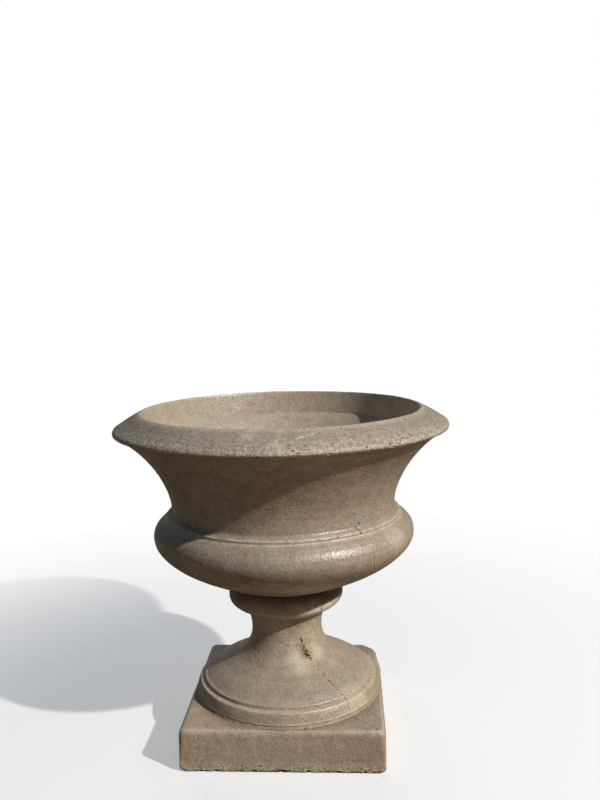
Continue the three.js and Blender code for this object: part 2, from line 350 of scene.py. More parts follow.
    dull = between(mottle, 0.3, 0.7, 0.36, 0.49)
    # Each patch is a stain or a painted pool of light, as listed.
    for middle, reach, shade in stains_and_painted_light:
        apart = nodes.new("ShaderNodeVectorMath")
        apart.operation = "DISTANCE"
        link(place, apart.inputs[0])
        apart.inputs[1].default_value = middle
        ragged = sums("ADD", apart.outputs["Value"], sums("MULTIPLY", clouds(34, 6, 0.65), reach * 0.8))
        patch = sums("MULTIPLY", between(ragged, reach * 1.4, reach * 0.6),
                     between(clouds(120, 4), 0.35, 0.6, 0.4, 1))
        colour = blend(sums("MULTIPLY", patch, 0.6), colour, shade)
        dull = sums("ADD", dull, sums("MULTIPLY", patch, 0.35))
    if darkened_band:
        # The face is darkened below or above the given levels, with a wavy edge.
        wavy = sums("ADD", level.outputs["Z"], sums("MULTIPLY", clouds(6, 6, 0.6), 0.12))
        colour = blend(between(wavy, darkened_band[1] + 0.06, darkened_band[0] + 0.06, 0, 0.8), colour, soil_and_shade)

    if washed:
        inner, outer, top = washed
        plan = nodes.new("ShaderNodeVectorMath")
        plan.operation = "LENGTH"
        link(stretched(1, 1, 0), plan.inputs[0])
        skirt = sums("ADD", plan.outputs["Value"], sums("MULTIPLY", clouds(17, 5, 0.6), 0.03))
        skirt = sums("MULTIPLY", between(skirt, outer + 0.015, inner + 0.015, 0, 0.6),
                     between(facing.outputs["Z"], 0.5, 0.9))
        colour = blend(skirt, colour, soil_and_shade)
        # The top arris is painted pale: wear and a painted highlight line.
        top_arris_wear_and_highlight = sums("MULTIPLY", between(facing.outputs["Z"], 0.95, 0.75),
                     between(level.outputs["Z"], top - 0.0045, top - 0.0015))
        colour = blend(sums("MULTIPLY", top_arris_wear_and_highlight, between(clouds(60, 4), 0.3, 0.5, 0.2, 0.8)), colour, rubbed_pale_and_highlight)

    grain = clouds(420, 3, 0.6)
    sand = clouds(205, 4, 0.72)
    colour = blend(between(sand, 0.5, 0.72, 0, 0.5), colour, rubbed_pale_and_highlight)
    colour = blend(between(sand, 0.49, 0.27, 0, 0.45), colour, soil_and_shade)
    colour = blend(between(grain, 0.5, 0.3, 0, 0.2), colour, "3A2E22")
    rough_face = clouds(125, 5, 0.7)
    if arris_wear_and_highlight:
        # The listed arrises are painted pale: wear, and painted highlight lines.
        worn = sums("MULTIPLY", by_level(arris_wear_and_highlight), between(clouds(75, 5, 0.65), 0.38, 0.6, 0.2, 0.9))
        colour = blend(worn, colour, rubbed_pale_and_highlight)
    if pitted:
        how_much = by_level(pitted)
        colour = blend(sums("MULTIPLY", how_much, 0.22), colour, rubbed_pale_and_highlight)
        colour = blend(sums("MULTIPLY", between(rough_face, 0.5, 0.68, 0, 0.9), how_much), colour, rubbed_pale_and_highlight)
        colour = blend(sums("MULTIPLY", between(rough_face, 0.47, 0.33, 0, 0.9), how_much), colour, soil_and_shade)

    holes = nodes.new("ShaderNodeTexVoronoi")
    holes.inputs["Scale"].default_value = 95
    link(place, holes.inputs["Vector"])
    some = nodes.new("ShaderNodeSeparateColor")
    link(holes.outputs["Color"], some.inputs["Color"])
    size = between(some.outputs["Red"], 0.86, 1, 0, 0.27)
    hole = between(sums("SUBTRACT", size, holes.outputs["Distance"]), 0, 0.1)
    colour = blend(sums("MULTIPLY", hole, 0.6), colour, "44352A")
    bands = clouds(6, 3, 0.5, stretched(0.5, 0.5, 34))
    colour = blend(between(bands, 0.5, 0.7, 0, 0.4 * sweep), colour, soil_and_shade)
    link(colour, shader.inputs["Base Color"])

    height = sums("MULTIPLY", clouds(190, 1, 0.5), 0.9)
    height = sums("ADD", height, sums("MULTIPLY", sand, 0.16))
    height = sums("ADD", height, sums("MULTIPLY", bands, sweep))
    height = sums("SUBTRACT", height, sums("MULTIPLY", hole, 1.2))
    if pitted:
        height = sums("ADD", height, sums("MULTIPLY", sums("MULTIPLY", rough_face, how_much), 3))
    relief = nodes.new("ShaderNodeBump")
    relief.inputs["Strength"].default_value = 0.8
    relief.inputs["Distance"].default_value = 0.0014
    link(height, relief.inputs["Height"])
    link(relief.outputs["Normal"], shader.inputs["Normal"])
    link(dull, shader.inputs["Roughness"])
    return stone


def broken_stone(name, face, stain):
    """The coarse inside of the casting, bare sand and grit where a bit has come away."""
    stone = bpy.data.materials.new(name)
    stone.use_nodes = True
    nodes = stone.node_tree.nodes
    link = stone.node_tree.links.new
    shader = nodes["Principled BSDF"]
    shader.inputs["Specular IOR Level"].default_value = 0.25
    shader.inputs["Roughness"].default_value = 0.92
    place = nodes.new("ShaderNodeTexCoord").outputs["Object"]
    grit = nodes.new("ShaderNodeTexNoise")
    grit.inputs["Scale"].default_value = 300
    grit.inputs["Detail"].default_value = 5
    link(place, grit.inputs["Vector"])
    shades = nodes.new("ShaderNodeValToRGB")
    shades.color_ramp.elements[0].position = 0.38
    shades.color_ramp.elements[0].color = paint(stain)
    shades.color_ramp.elements[1].position = 0.62
    shades.color_ramp.elements[1].color = paint(face)
    link(grit.outputs["Fac"], shades.inputs["Fac"])
    link(shades.outputs["Color"], shader.inputs["Base Color"])
    relief = nodes.new("ShaderNodeBump")
    relief.inputs["Distance"].default_value = 0.0015
    link(grit.outputs["Fac"], relief.inputs["Height"])
    link(relief.outputs["Normal"], shader.inputs["Normal"])
    return stone


bowl = draw_section("bowl_casting", bowl_outside + bowl_inside, bowl_level)
turn(bowl, bowl_cuts)
roughen(bowl, (0.19, 0.0022), (0.03, 0.0008), (0.009, 0.0005))
bowl.data.materials.append(cast_stone(
    "bowl_face", "A29380", "8E8677", "A48A78", "66503C", "CFC2AA", sweep=0.5,
    pitted=[(0.75, 0), (0.757, 1), (0.77, 1), (0.784, 0.35)],
    # The pale lines along the fillet's arrises and the mouth's inner arris are wear and painted highlight.
    arris_wear_and_highlight=[(0.539, 0), (0.541, 0.8), (0.543, 0.8), (0.544, 0), (0.5485, 0), (0.55, 1), (0.552, 1), (0.553, 0),
             (0.7955, 0), (0.798, 1)],
    # The pale patch low on the belly's right is painted light; the rest are stains.
    stains_and_painted_light=[(spot(-44, 300, 472), 0.046, "AA8769"), (spot(-100, 300, 470), 0.045, "8C6A4C"),
            (spot(-31, 311, 512), 0.06, "C4B698"), (spot(-87, 383, 774), 0.022, "DACFBA"),
            (spot(-96, 358, 789), 0.018, "D4C9B4")]))

# The inside has weathered less and stays paler, and is darker towards the floor and low on the wall. Its faces
# look towards the axis, or lie in the floor.
bowl.data.materials.append(cast_stone(
    "bowl_lining", "B4A68F", "A39A86", "B09A86", "69533F", "D2C4A8", darkened_band=(0.42, 0.56)))
seat_top = 0.41
floor_top = 0.425
for face in bowl.data.polygons:
    outwards = face.center.x * face.normal.x + face.center.y * face.normal.y
    if face.center.z > seat_top and (outwards < 0 or face.center.z < floor_top):
        face.material_index = 1

chipped = broken_stone("fresh_chip", "C2B5A0", "93836F")
scraped = broken_stone("scraped_face", "D3C8B6", "AFA28E")
stained = broken_stone("stained_chip", "8A7257", "5F4934")
crack_soil = broken_stone("crack_soil", "57452F", "33261A")

# Where the joint of the mould runs, as level and azimuth, and the stretches of it that have opened.
front_joint = [(379, -47), (459, -45.6), (475, -46.3), (492, -47.1), (521, -47.6), (538, -48.9), (551, -49.4),
               (559, -50), (565, -47.8), (607, -47.6), (700, -46), (752, -48.5), (762, -48), (769, -46.7),
               (785, -44.6), (800, -44)]
back_joint = [(379, 134), (480, 133), (560, 135), (620, 132.5), (700, 134), (770, 133), (800, 134.5)]
joints = open_joint(bowl_outside, bowl_level, front_joint,
                    [(468, 521, 2.3, stained), (526, 540, 1.8, stained), (547, 566, 3.6, crack_soil),
                     (596, 610, 1.8, stained), (757, 769, 2.2, crack_soil), (769, 786, 1.5, stained)])
joints += open_joint(bowl_outside, bowl_level, back_joint,
                     [(440, 512, 2.4, stained), (536, 572, 3.2, crack_soil), (757, 796, 2.2, stained)])
break_out(bowl, joints)

# Bits out of the rim, the fillet and the wall: azimuth, out, up, then the size along, up the face and inwards. More
# fall by chance along the rim's nose, the fillet and the mouth.
bowl_chips = [
    (-51.9, 399.5, 762.2, 5, 4, 2.5, crack_soil), (-48.6, 400.3, 759.7, 8, 5, 3, chipped),
    (-46.1, 393, 768, 5, 7, 3, crack_soil), (-43.9, 393.8, 767.4, 4, 3, 2, crack_soil),
    (-42.5, 398, 762, 5, 3, 2, chipped), (-39, 396.8, 765.4, 4, 3, 2, crack_soil),
    (-82, 396.2, 766, 3.5, 3.5, 2.2, crack_soil), (-80.7, 399.2, 761.7, 3, 3, 2, crack_soil),
    (-69.8, 391.2, 769, 2.5, 2.5, 2, crack_soil), (-67.8, 360.2, 788.4, 3, 3, 2, crack_soil),
    (-47.3, 355, 791.4, 3, 4, 2, crack_soil), (-71.8, 399.4, 756.2, 9, 5, 3, chipped),
    (-68.7, 398.5, 755.3, 7, 4, 2.5, chipped), (-58.5, 397.5, 754.6, 8, 5, 3, chipped),
    (-65.7, 297, 651, 3, 3, 2, crack_soil), (-45, 343.5, 714, 3, 3, 2, crack_soil),
    (-47.6, 278, 607, 3, 4, 2, crack_soil), (-47.9, 270.5, 566, 6, 3.5, 2.5, crack_soil),
    (-50.3, 284.5, 546, 9, 4, 2, chipped), (-45.6, 293.5, 458, 3, 3, 2, crack_soil),
]
chance = random.Random(7)
for _ in range(34):
    bowl_chips.append((chance.uniform(-180, 180), 398.6, 755.2, chance.uniform(4, 12), chance.uniform(2, 5),
                       chance.uniform(1.5, 3.6), chipped))
for _ in range(16):
    bowl_chips.append((chance.uniform(-180, 180), 285.5, 550, chance.uniform(3, 9), chance.uniform(2, 4),
                       chance.uniform(1.2, 2.4), chipped))
for _ in range(12):
    bowl_chips.append((chance.uniform(-180, 180), 335, 801, chance.uniform(3, 9), chance.uniform(2, 4),
                       chance.uniform(1.2, 2.6), chipped))
lumps = [pebble(spot(azimuth, out, up), azimuth, along, across, inwards, finish)
         for azimuth, out, up, along, across, inwards, finish in bowl_chips]

# A gouge in the slope of the rim, from its lower left to its upper right end, scraped wider in the middle.
gouge_start = spot(-80.2, 367.5, 785.3)
gouge_end = spot(-74, 355, 792.4)
for part, across in enumerate((3, 4.6, 5.6, 5, 5.2, 4.4, 3)):
    lumps.append(pebble(gouge_start.lerp(gouge_end, part / 6), -58, 12, across, across, scraped))
break_out(bowl, lumps)

# Edges sharper than this stay sharp to the eye.
crease = math.radians(38)
bpy.ops.object.shade_smooth_by_angle(angle=crease)
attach(bowl, "bowl")
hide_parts("bowl")


# ------------------------------------------------------------------------------------------------ Setting pad
# A ring of black sheet rubber, 3 mm thick, between the collar of the pedestal and the seat of the bowl. It is cut
# from sheet, laid loose and drawn in from both edges, so that only a dark line of it shows.

pad_level = 0.376
pad_section = [
    (8, (34, 0), (116.4, 0)),
    (3, (116.4, 0), (116.8, 0), (117, 0.3), (117, 0.8)),
    (2, (117, 0.8), (117, 2.2)),
    (3, (117, 2.2), (117, 2.7), (116.8, 3), (116.4, 3)),
    (8, (116.4, 3), (34, 3)),
    (2, (34, 3), (34, 0)),
]


def plain_stuff(name, colour, worn, scale, dull, shiny, metal=0.0):
    """One sort of stuff right through, a little rubbed and dusty in patches: sheet rubber, pipe and steel bar."""
    stuff = bpy.data.materials.new(name)
    stuff.use_nodes = True
    nodes = stuff.node_tree.nodes
    link = stuff.node_tree.links.new
    shader = nodes["Principled BSDF"]
    shader.inputs["Metallic"].default_value = metal
    patches = nodes.new("ShaderNodeTexNoise")
    patches.inputs["Scale"].default_value = scale
    patches.inputs["Detail"].default_value = 6
    link(nodes.new("ShaderNodeTexCoord").outputs["Object"], patches.inputs["Vector"])
    shades = nodes.new("ShaderNodeValToRGB")
    shades.color_ramp.elements[0].position = 0.42
    shades.color_ramp.elements[0].color = paint(colour)
    shades.color_ramp.elements[1].position = 0.72
    shades.color_ramp.elements[1].color = paint(worn)
    link(patches.outputs["Fac"], shades.inputs["Fac"])
    link(shades.outputs["Color"], shader.inputs["Base Color"])
    polish = nodes.new("ShaderNodeMapRange")
    polish.inputs["To Min"].default_value = dull
    polish.inputs["To Max"].default_value = shiny
    link(patches.outputs["Fac"], polish.inputs["Value"])
    link(polish.outputs["Result"], shader.inputs["Roughness"])
    relief = nodes.new("ShaderNodeBump")
    relief.inputs["Distance"].default_value = 0.0002
    link(patches.outputs["Fac"], relief.inputs["Height"])
    link(relief.outputs["Normal"], shader.inputs["Normal"])
    return stuff


pad = draw_section("rubber_ring", pad_section, pad_level)
turn(pad, 180)
bpy.ops.object.shade_smooth_by_angle(angle=crease)
pad.data.materials.append(plain_stuff("sheet_rubber", "232220", "3F3B35", 60, 0.9, 0.7))
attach(pad, "stand")
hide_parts("bowl_setting_pad")


# ------------------------------------------------------------------------------------------------ Drain sleeve
# A length of grey plastic pipe on a shoulder inside the plinth. It lines the hole up the axis, and its top end, sawn
# square with the edges taken off, is the spigot that the bowl drops over.

shoulder = 22
sleeve_section = [
    (2, (22.6, 0), (24.4, 0)),
    (2, (24.4, 0), (25, 0.6)),
    (40, (25, 0.6), (25, 387)),
    (2, (25, 387), (23.6, 389)),
    (2, (23.6, 389), (22.6, 389)),
    (2, (22.6, 389), (22, 388)),
    (40, (22, 388), (22, 0.6)),
    (2, (22, 0.6), (22.6, 0)),
]
sleeve = draw_section("drain_pipe", sleeve_section, shoulder / 1000)
turn(sleeve, 96)
bpy.ops.object.shade_smooth_by_angle(angle=math.radians(30))
sleeve.data.materials.append(plain_stuff("pipe_plastic", "8B8E90", "716C62", 22, 0.55, 0.4))
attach(sleeve, "stand")
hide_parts("drain_sleeve")


# ------------------------------------------------------------------------------------------------ Pedestal
# The foot of the urn, cast in the same two-part way: a flat-faced ring with a ledge, a bell that sweeps up from its
# own lip into the neck, and the collar that takes the bowl. It is bedded on mortar, pinned by three dowels and bored.

pedestal_level = 0.104
pedestal_cuts = 360
pedestal_outside = [
    (12, (25.3, 0), (222.5, 0)),
    (3, (222.5, 0), (225, 0), (226.5, 1.5), (226.5, 4)),
    (12, (226.5, 4), (225, 11.7), (222.5, 19.3), (219, 27)),
    (4, (219, 27), (218.3, 28.3), (217.7, 29), (216.5, 29.5)),
    (4, (216.5, 29.5), (208.6, 30.8)),
    (2, (208.6, 30.8), (208.1, 30.9), (207.8, 31.3), (207.8, 32)),
    (3, (207.8, 32), (207.2, 36)),
    (5, (207.2, 36), (207, 38.2), (205.6, 39.5), (203, 39.5)),
    (40, (203, 39.5), (161, 74.5), (86, 80), (86, 152)),
    (14, (86, 152), (86, 178), (93, 189), (98, 201)),
    (3, (98, 201), (100, 203), (103, 203.5), (107, 204.3)),
    (14, (107, 204.3), (126.5, 214.5), (140.5, 219.5), (140.5, 237)),
    (12, (140.5, 237), (140.5, 256), (132, 272), (121, 272)),
    (10, (121, 272), (25.3, 272)),
]
pedestal_bore = [(34, (25.3, 272), (25.3, 0))]

pedestal = draw_section("pedestal_casting", pedestal_outside + pedestal_bore, pedestal_level)
turn(pedestal, pedestal_cuts)
roughen(pedestal, (0.15, 0.0018), (0.03, 0.0008), (0.009, 0.0005))
pedestal.data.materials.append(cast_stone(
    # The darkened band at the top of the collar, under the bowl, is painted shade as well as damp soil.
    "pedestal_face", "AE9D87", "998F7C", "B09580", "6B553F", "D8C8AB", sweep=0.3, darkened_band=(0.362, 0.344),
    pitted=[(0.2, 0), (0.225, 0.4), (0.28, 0.4), (0.305, 0)],
    # The pale lines round the bell's lip and the ring's top arris are wear and painted highlight.
    arris_wear_and_highlight=[(0.104, 1), (0.109, 1), (0.1115, 0), (0.13, 0), (0.1315, 0.8), (0.1345, 0.8), (0.1355, 0), (0.1405, 0),
             (0.142, 1), (0.1438, 1), (0.145, 0)],
    # The pale patches on the ring's right, on the collar's lower right and on the neck below the spall are painted
    # light and highlight; the brown ones are stains.
    stains_and_painted_light=[(spot(-70, 88, 282), 0.036, "8A6A45"), (spot(-60, 92, 232), 0.034, "7C5C3C"),
            (spot(-57, 99, 213), 0.024, "6E5034"), (spot(-48, 87, 268), 0.036, "AE9872"),
            (spot(-40, 224, 119), 0.06, "D0C2A4"), (spot(-66, 130, 322), 0.04, "F6EEDC"),
            (spot(-52, 136, 328), 0.045, "F6EEDC"), (spot(-36, 139, 336), 0.045, "E8DFB8"),
            (spot(-73, 103, 207), 0.028, "D6CAB2"), (spot(-71, 118, 193), 0.03, "D0C4AA"),
            (spot(-42, 99, 212), 0.026, "D2C4A6"), (spot(-61.5, 91, 234), 0.02, "6E4A28"),
            (spot(-58.5, 98, 215), 0.024, "6E4A28")]))

foot_joint = [(104, -46.5), (113, -46.8), (127, -47.4), (135, -46.4), (152, -48.2), (155, -49.5), (165, -49.8),
              (175, -49.9), (184, -53), (204, -54), (222, -57.4), (248, -60), (290, -52), (337, -48.7), (376, -48)]
foot_back_joint = [(104, 134), (150, 133), (220, 136), (300, 134), (376, 133)]
joints = open_joint(pedestal_outside, pedestal_level, foot_joint,
                    [(106, 157, 1.6, stained), (157, 184, 1.3, stained), (318, 352, 2.6, crack_soil)])
joints += open_joint(pedestal_outside, pedestal_level, foot_back_joint,
                     [(108, 170, 2.4, stained), (316, 350, 3, crack_soil)])

# The three dowel holes, in millimetres: the radius of the circle that they stand on, their own radius, and the foot
# and top of the bits that bore up through the bed and into the pedestal.
dowel_circle = 150
dowel_hole = 6.3
bit_foot = 95
bit_top = 149
dowel_places = [(dowel_circle * math.cos(math.radians(turned)), dowel_circle * math.sin(math.radians(turned)))
                for turned in (90, 210, 330)]
break_out(pedestal, joints + drill(chipped, dowel_hole, bit_foot, bit_top, *dowel_places))

# The spall on the neck with its slits, the chips along the joint and the arrises, and the bits out of the collar.
spall_face = broken_stone("spall_face", "7C603F", "4C3824")
pedestal_chips = [
    (-63.4, 87.6, 249, 5, 8, 2.2, spall_face), (-61.2, 88.8, 243, 8, 8, 2.2, spall_face),
    (-62.2, 90.3, 237, 6, 8, 2.4, spall_face), (-59.6, 92.2, 231, 12, 8, 2.6, spall_face),
    (-61, 94.4, 225, 14, 8, 2.8, spall_face), (-57.4, 96.8, 219, 15, 8, 3, spall_face),
    (-59.6, 99.4, 214, 14, 7, 3, spall_face), (-56, 101.8, 209, 12, 7, 2.8, spall_face),
    (-55, 105.6, 204, 7, 6, 2.4, spall_face), (-62.2, 89.4, 241, 2, 5, 3, stained),
    (-59.8, 93, 229, 3, 6, 3.2, stained), (-58, 97, 219, 5, 7, 3.8, crack_soil),
    (-57.6, 100.5, 211, 5, 5, 3.8, crack_soil), (-53, 132, 184, 5, 4, 2.4, stained),
    (-54.2, 118, 194, 4, 4, 2.4, chipped), (-50.2, 146, 175, 5, 4, 2.2, crack_soil),
    (-49.8, 165.5, 165, 5, 5, 2.6, crack_soil), (-51.5, 153, 172, 6, 3, 2.6, chipped),
    (-49.6, 178, 159, 8, 5, 2.6, chipped), (-122.7, 228, 119, 4, 11, 3.4, crack_soil),
    (-121.3, 229, 114, 9, 6, 4, chipped), (-124.5, 229, 110, 10, 5, 4, chipped),
    (-49, 210, 136, 8, 3, 2.4, chipped), (-48, 142, 330, 6, 5, 2.2, chipped),
]
for _ in range(20):
    pedestal_chips.append((chance.uniform(-180, 180), 213, 136, chance.uniform(3, 9), chance.uniform(2, 4),
                           chance.uniform(1, 2.2), chipped))
for _ in range(16):
    pedestal_chips.append((chance.uniform(-180, 180), 223, 105, chance.uniform(5, 14), chance.uniform(3, 7),
                           chance.uniform(1.5, 4), chipped))
for _ in range(8):
    pedestal_chips.append((chance.uniform(-180, 180), 141.5, chance.uniform(325, 350), chance.uniform(2, 6),
                           chance.uniform(2, 5), chance.uniform(1, 2.2), crack_soil))
break_out(pedestal, [pebble(spot(azimuth, out, up), azimuth, along, across, inwards, finish)
                     for azimuth, out, up, along, across, inwards, finish in pedestal_chips])
bpy.ops.object.shade_smooth_by_angle(angle=crease)
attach(pedestal, "stand")
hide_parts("pedestal")


# ------------------------------------------------------------------------------------------------ Mortar bed
# The mortar that the foot is bedded in, 4 mm thick. It was buttered on wet, and what the weight squeezed out was
# wiped against the ring by hand, so its edge is ragged.

bed_level = 0.1
bed_section = [
    (12, (40, 0), (214, 0)),
    (4, (214, 0), (229.4, 0)),
    (4, (229.4, 0), (228.6, 1.5), (227.8, 3), (227, 5.4)),
    (3, (227, 5.4), (226.3, 5.1), (225.2, 4.2), (223, 3.9)),
    (12, (223, 3.9), (40, 3.9)),
    (2, (40, 3.9), (40, 0)),
]
bed = draw_section("mortar_bed", bed_section, bed_level)
turn(bed, 360)

# What stands out past the face of the ring is ragged, by waves about 40 mm and 9 mm long.
ring_face = 0.227
for corner in bed.data.vertices:
    out = math.hypot(corner.co.x, corner.co.y)
    if out > ring_face:
        ragged = noise.noise(corner.co * 23) + 1.2 * noise.noise(corner.co * 110 + Vector((3, 1, 5)))
        corner.co.x *= 1 + ragged / 1000 / out
        corner.co.y *= 1 + ragged / 1000 / out
bed.data.materials.append(cast_stone("bed_face", "A89880", "9C8E78", "A68D74", "80694F", "C8B89C", shine=0.25))
break_out(bed, drill(chipped, dowel_hole, bit_foot, bit_top, *dowel_places))
bpy.ops.object.shade_smooth_by_angle(angle=crease)
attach(bed, "stand")
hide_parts("foot_mortar_bed")


# ------------------------------------------------------------------------------------------------ Foot dowels
# Three pins of 12 mm steel bar, set in the plinth and grouted up into the foot of the pedestal, which keep it from
# being knocked round or off. They are buried once the urn is up.

steel = plain_stuff("dowel_bar", "9C9A96", "6F5A48", 130, 0.5, 0.35, metal=1.0)
for number in (1, 2, 3):
    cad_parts[f"foot_dowel_{number}"].material_slots[0].material = steel


# ------------------------------------------------------------------------------------------------ Plinth
# A square slab cast face down in a box. Its arrises are worn round, one back corner has been knocked off, and the
# bottom edge is ragged where the mix was struck off and has since crumbled.

plinth_side = 0.468
plinth_height = 0.1
bpy.ops.object.select_all(action="DESELECT")
bpy.ops.mesh.primitive_cube_add(size=1, location=(0, 0, plinth_height / 2))
plinth = bpy.context.object
plinth.name = "plinth_slab"
bpy.ops.object.mode_set(mode="EDIT")
bpy.ops.mesh.select_all(action="SELECT")
bpy.ops.transform.resize(value=(plinth_side, plinth_side, plinth_height), center_override=(0, 0, plinth_height / 2))
bpy.ops.object.mode_set(mode="OBJECT")
bpy.ops.object.transform_apply(location=True, rotation=True, scale=True)

# The four bottom corners are knocked blunt, and then the upright arrises are rounded.
for corner in plinth.data.vertices:
    corner.select = corner.co.z < plinth_height / 2
for edge in plinth.data.edges:
    edge.select = False
for face in plinth.data.polygons:
    face.select = False
bpy.ops.object.mode_set(mode="EDIT")
bpy.ops.mesh.select_mode(type="VERT")
bpy.ops.mesh.bevel(affect="VERTICES", offset=0.024, segments=4, profile=0.5)
bpy.ops.mesh.select_all(action="DESELECT")
bpy.ops.object.mode_set(mode="OBJECT")
for edge in plinth.data.edges:
    first, last = [plinth.data.vertices[corner].co for corner in edge.vertices]
    edge.select = abs(first.z - last.z) > plinth_height / 2
bpy.ops.object.mode_set(mode="EDIT")
bpy.ops.mesh.select_mode(type="EDGE")
bpy.ops.mesh.bevel(affect="EDGES", offset=0.013, segments=4, profile=0.5)
bpy.ops.object.mode_set(mode="OBJECT")

# The other arrises are worn a little, and the whole skin is then made of faces small enough to be rough.
finish_with(plinth, "BEVEL", width=0.003, segments=2, limit_method="ANGLE", angle_limit=math.radians(50))
finish_with(plinth, "REMESH", mode="VOXEL", voxel_size=0.0028)
finish_with(plinth, "SMOOTH", factor=0.5, iterations=1)
roughen(plinth, (0.15, 0.0022), (0.03, 0.001), (0.01, 0.0008))
plinth.data.materials.append(cast_stone(
    "plinth_face", "B6A38B", "A29682", "B89A86", "6B553F", "DCCDB2", washed=(0.226, 0.252, plinth_height),
    pitted=[(0.006, 1), (0.026, 0)],
    stains_and_painted_light=[((0.19, -0.234, 0.03), 0.07, "94755F"), ((-0.225, -0.234, 0.055), 0.045, "A69272"),
            # The first patch on this line only darkens the top of the back right corner.
            ((0.2, 0.2, 0.1), 0.08, "5A5145"), ((0.2, -0.17, 0.1), 0.09, "877860")]))


def slab_spot(x, y, up):
    """A place on the slab, in millimetres."""
    return Vector((x, y, up)) / 1000


# The broken back corner. The first points are where it broke, seen from above in millimetres, and the last three lie
# well outside the slab. The lump leans outwards as it goes down, in four lifts.
break_top = 112
break_line = [(123, 243), (131, 233), (147, 234), (165, 228), (185, 222), (204, 209), (216, 193), (222, 178),
              (224, 157), (226, 139), (228, 119), (231, 101), (233, 75), (243, 67), (297, 67), (297, 297), (123, 297)]
bpy.ops.object.select_all(action="DESELECT")
bpy.ops.mesh.primitive_circle_add(vertices=len(break_line), radius=0.1, fill_type="NGON", location=(0, 0, 0))
corner_lump = bpy.context.object
for corner, (x, y) in zip(corner_lump.data.vertices, break_line):
    corner.co = slab_spot(x, y, break_top)
bpy.ops.object.mode_set(mode="EDIT")
bpy.ops.mesh.select_all(action="SELECT")
for sideways, down in ((0.001, 0.02), (0.005, 0.025), (0.009, 0.025), (0.018, 0.022)):
    bpy.ops.mesh.extrude_region_move(TRANSFORM_OT_translate={"value": (sideways, sideways, -down)})
bpy.ops.mesh.select_all(action="SELECT")
bpy.ops.mesh.quads_convert_to_tris()
bpy.ops.mesh.subdivide(number_cuts=2)
bpy.ops.mesh.normals_make_consistent(inside=False)
bpy.ops.object.mode_set(mode="OBJECT")

# The roughness of the break starts from a set seed, so that it comes out the same each time.
noise.seed_set(10)
for corner in corner_lump.data.vertices:
    corner.co += 0.004 * noise.noise_vector(corner.co * 45) + 0.002 * noise.noise_vector(corner.co * 160)
corner_lump.data.materials.append(broken_stone("knocked_face", "857866", "5C5244"))
lumps = [corner_lump]

# Bits out of the front's bottom edge: along, up, then the size along, up the face and inwards.
for x, up, along, across, inwards, finish in (
    (3, 5, 40, 6, 8, crack_soil), (-136, 12, 12, 6, 3, chipped), (-92, 13, 10, 5, 3, chipped),
    (-51, 14, 12, 6, 3, chipped), (-112, 9, 8, 5, 3, chipped), (-72, 9, 9, 4, 3, chipped),
):
    lumps.append(pebble(slab_spot(x, -235, up), -90, along, across, inwards, finish))

# The crumbled bottom edge and a few chips out of the top edge, on each of the four sides. Half a side is in
# millimetres.
half_side = plinth_side * 500
for side in (0, 90, 180, -90):
    out = Vector((math.cos(math.radians(side)), math.sin(math.radians(side)), 0))
    across = Vector((-out.y, out.x, 0))
    for _ in range(44):
        place = out * half_side + across * chance.uniform(-half_side, half_side)
        lumps.append(pebble(slab_spot(place.x, place.y, chance.uniform(0, 4)), side, chance.uniform(5, 20),
                            chance.uniform(4, 10), chance.uniform(2, 6), stained))
    for _ in range(6):
        place = out * half_side + across * chance.uniform(-half_side, half_side)
        lumps.append(pebble(slab_spot(place.x, place.y, 101), side, chance.uniform(5, 14), chance.uniform(4, 8),
                            chance.uniform(2, 4), chipped))

# The joint of the mould runs across the top from the ring to the front right corner.
slab_joint = [(90, -46.2), (110, -46.2)]
lumps += open_joint([(16, (228, 0), (322, 0))], plinth_height, slab_joint, [(99, 101, 2.2, stained)])
break_out(plinth, lumps)

# The way for the water is narrower below, which leaves the shoulder that the sleeve stands on. The bits for the
# sleeve and the dowels come down from above the slab, and those for the dowels stop short. All in millimetres.
water_hole = 22
sleeve_hole = 25.3
dowel_hole_foot = 55
above_slab = 105
break_out(plinth, drill(chipped, water_hole, -5, 30, (0, 0))
          + drill(chipped, sleeve_hole, shoulder, above_slab, (0, 0))
          + drill(chipped, dowel_hole, dowel_hole_foot, above_slab, *dowel_places))
bpy.ops.object.shade_smooth_by_angle(angle=crease)
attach(plinth, "stand")
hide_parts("plinth")


# ------------------------------------------------------------------------------------ Ground, light and camera
# A pale studio floor that runs out to white, a lamp high on the right, weaker ones on the left and behind, and a
# camera a little under two metres away and a little over one metre up.

bpy.ops.object.select_all(action="DESELECT")
bpy.ops.mesh.primitive_circle_add(vertices=96, radius=40, fill_type="NGON", location=(0, 0, 0))
ground = bpy.context.object
ground.name = "studio_floor"
floor_paint = bpy.data.materials.new("floor_paint")
floor_paint.use_nodes = True
floor_nodes = floor_paint.node_tree.nodes
floor_link = floor_paint.node_tree.links.new
floor_shader = floor_nodes["Principled BSDF"]
floor_shader.inputs["Roughness"].default_value = 0.9
floor_shader.inputs["Specular IOR Level"].default_value = 0.1

